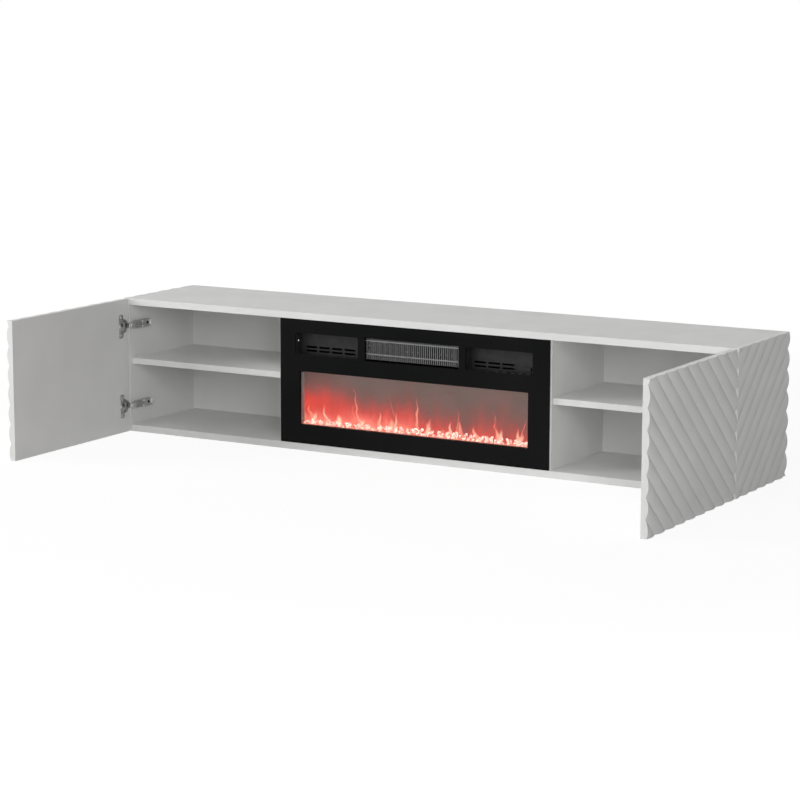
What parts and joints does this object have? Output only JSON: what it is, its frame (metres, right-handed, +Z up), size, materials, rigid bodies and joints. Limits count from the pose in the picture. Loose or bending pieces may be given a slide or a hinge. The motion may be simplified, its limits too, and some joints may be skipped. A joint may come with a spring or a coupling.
{
  "type": "fireplace tv stand",
  "caption": "Low white TV stand with fluted doors, shelved side compartments and an electric fireplace insert in the middle.",
  "frame": {"origin": "middle of the carcass' bottom face", "axes": "+X along the stand to the viewer's right, +Y to the wall, +Z up; the front faces -Y"},
  "size_m": [1.8, 0.832, 0.366],
  "materials": {
    "white_board": "white matt foil on particle board",
    "white_flutes": "white matt lacquer on milled fibreboard",
    "hinge_steel": "nickel-plated pressed steel",
    "stud_metal": "nickel-plated",
    "black_glass": "tempered glass, black on its back",
    "clear_glass": "clear tempered glass",
    "black_sheet": "black powder coat, fine grain",
    "black_plastic": "black moulded plastic, satin",
    "grille_wire": "dull grey plated wire",
    "flame_picture": "translucent screen lit from behind in red and orange",
    "crystals": "clear faceted crystals, lit from below",
    "works_metal": "plain sheet"
  },
  "bodies": {
    "cabinet": {"top_panel": "white_board", "bottom_panel": "white_board", "left_side_panel": "white_flutes", "right_side_panel": "white_flutes", "left_divider": "white_board", "right_divider": "white_board", "left_back_panel": "white_board", "centre_back_panel": "white_board", "right_back_panel": "white_board", "left_shelf": "white_board", "right_shelf": "white_board", "left_shelf_pin_1": "stud_metal", "left_shelf_pin_2": "stud_metal", "left_shelf_pin_3": "stud_metal", "left_shelf_pin_4": "stud_metal", "right_shelf_pin_1": "stud_metal", "right_shelf_pin_2": "stud_metal", "right_shelf_pin_3": "stud_metal", "right_shelf_pin_4": "stud_metal", "left_upper_hinge_arm": "hinge_steel", "left_lower_hinge_arm": "hinge_steel", "right_upper_hinge_arm": "hinge_steel", "right_lower_hinge_arm": "hinge_steel", "left_upper_mounting_plate": "hinge_steel", "left_lower_mounting_plate": "hinge_steel", "right_upper_mounting_plate": "hinge_steel", "right_lower_mounting_plate": "hinge_steel", "glass_front": "black_glass", "flame_window": "clear_glass", "firebox_shell": "black_sheet", "firebox_back_cover": "black_sheet", "cord_inlet": "black_plastic", "flame_screen": "flame_picture", "ember_bed": "crystals", "led_strip": "white_board", "flame_rotor_motor": "black_sheet", "left_vent_tray": "black_plastic", "right_control_tray": "black_plastic", "heater_grille": "grille_wire", "heater_element": "black_sheet", "blower_housing": "black_sheet", "blower_motor": "black_sheet"},
    "left_door_leaf": {"left_door": "white_flutes", "left_upper_hinge_cup": "hinge_steel", "left_lower_hinge_cup": "hinge_steel"},
    "right_door_leaf": {"right_door": "white_flutes", "right_upper_hinge_cup": "hinge_steel", "right_lower_hinge_cup": "hinge_steel"},
    "left_hinge_links": {"left_upper_hinge_link": "hinge_steel", "left_lower_hinge_link": "hinge_steel"},
    "right_hinge_links": {"right_upper_hinge_link": "hinge_steel", "right_lower_hinge_link": "hinge_steel"},
    "rocker": {"power_switch": "black_plastic"},
    "key_power": {"button_power": "black_plastic"},
    "key_flame": {"button_flame": "black_plastic"},
    "key_heat_low": {"button_heat_low": "black_plastic"},
    "key_heat_high": {"button_heat_high": "black_plastic"},
    "key_timer": {"button_timer": "black_plastic"},
    "fan": {"blower_rotor": "works_metal"},
    "flicker": {"flame_rotor": "works_metal"}
  },
  "joints": [
    {"name": "left_door_hinge", "type": "hinge", "parent": "cabinet", "child": "left_door_leaf", "pos_m": [-0.891, -0.1745, 0.183], "axis": [0, 0, -1], "range_deg": [-90, 15]},
    {"name": "right_door_hinge", "type": "hinge", "parent": "cabinet", "child": "right_door_leaf", "pos_m": [0.891, -0.1745, 0.183], "axis": [0, 0, 1], "range_deg": [-90, 15]},
    {"name": "left_link_swing", "type": "hinge", "parent": "cabinet", "child": "left_hinge_links", "pos_m": [-0.875, -0.17102, 0.183], "axis": [0, 0, 1], "range_deg": [-45, 8]},
    {"name": "right_link_swing", "type": "hinge", "parent": "cabinet", "child": "right_hinge_links", "pos_m": [0.875, -0.17102, 0.183], "axis": [0, 0, -1], "range_deg": [-45, 8]},
    {"name": "power_switch_rock", "type": "hinge", "parent": "cabinet", "child": "rocker", "pos_m": [0.32, -0.1295, 0.264], "axis": [0, 0, 1], "range_deg": [0, 16]},
    {"name": "button_power_press", "type": "slide", "parent": "cabinet", "child": "key_power", "axis": [0, 0, -1], "range_m": [0, 0.0012], "stiffness_N_per_m": 300},
    {"name": "button_flame_press", "type": "slide", "parent": "cabinet", "child": "key_flame", "axis": [0, 0, -1], "range_m": [0, 0.0012], "stiffness_N_per_m": 300},
    {"name": "button_heat_low_press", "type": "slide", "parent": "cabinet", "child": "key_heat_low", "axis": [0, 0, -1], "range_m": [0, 0.0012], "stiffness_N_per_m": 300},
    {"name": "button_heat_high_press", "type": "slide", "parent": "cabinet", "child": "key_heat_high", "axis": [0, 0, -1], "range_m": [0, 0.0012], "stiffness_N_per_m": 300},
    {"name": "button_timer_press", "type": "slide", "parent": "cabinet", "child": "key_timer", "axis": [0, 0, -1], "range_m": [0, 0.0012], "stiffness_N_per_m": 300},
    {"name": "fan_spin", "type": "hinge", "parent": "cabinet", "child": "fan", "pos_m": [0, -0.0775, 0.285], "axis": [1, 0, 0], "continuous": true},
    {"name": "flicker_spin", "type": "hinge", "parent": "cabinet", "child": "flicker", "pos_m": [0, -0.1025, 0.075], "axis": [1, 0, 0], "continuous": true}
  ],
  "couplings": [
    {"joint": "left_link_swing", "follows": "left_door_hinge", "ratio": 0.48832},
    {"joint": "right_link_swing", "follows": "right_door_hinge", "ratio": 0.48832}
  ]
}
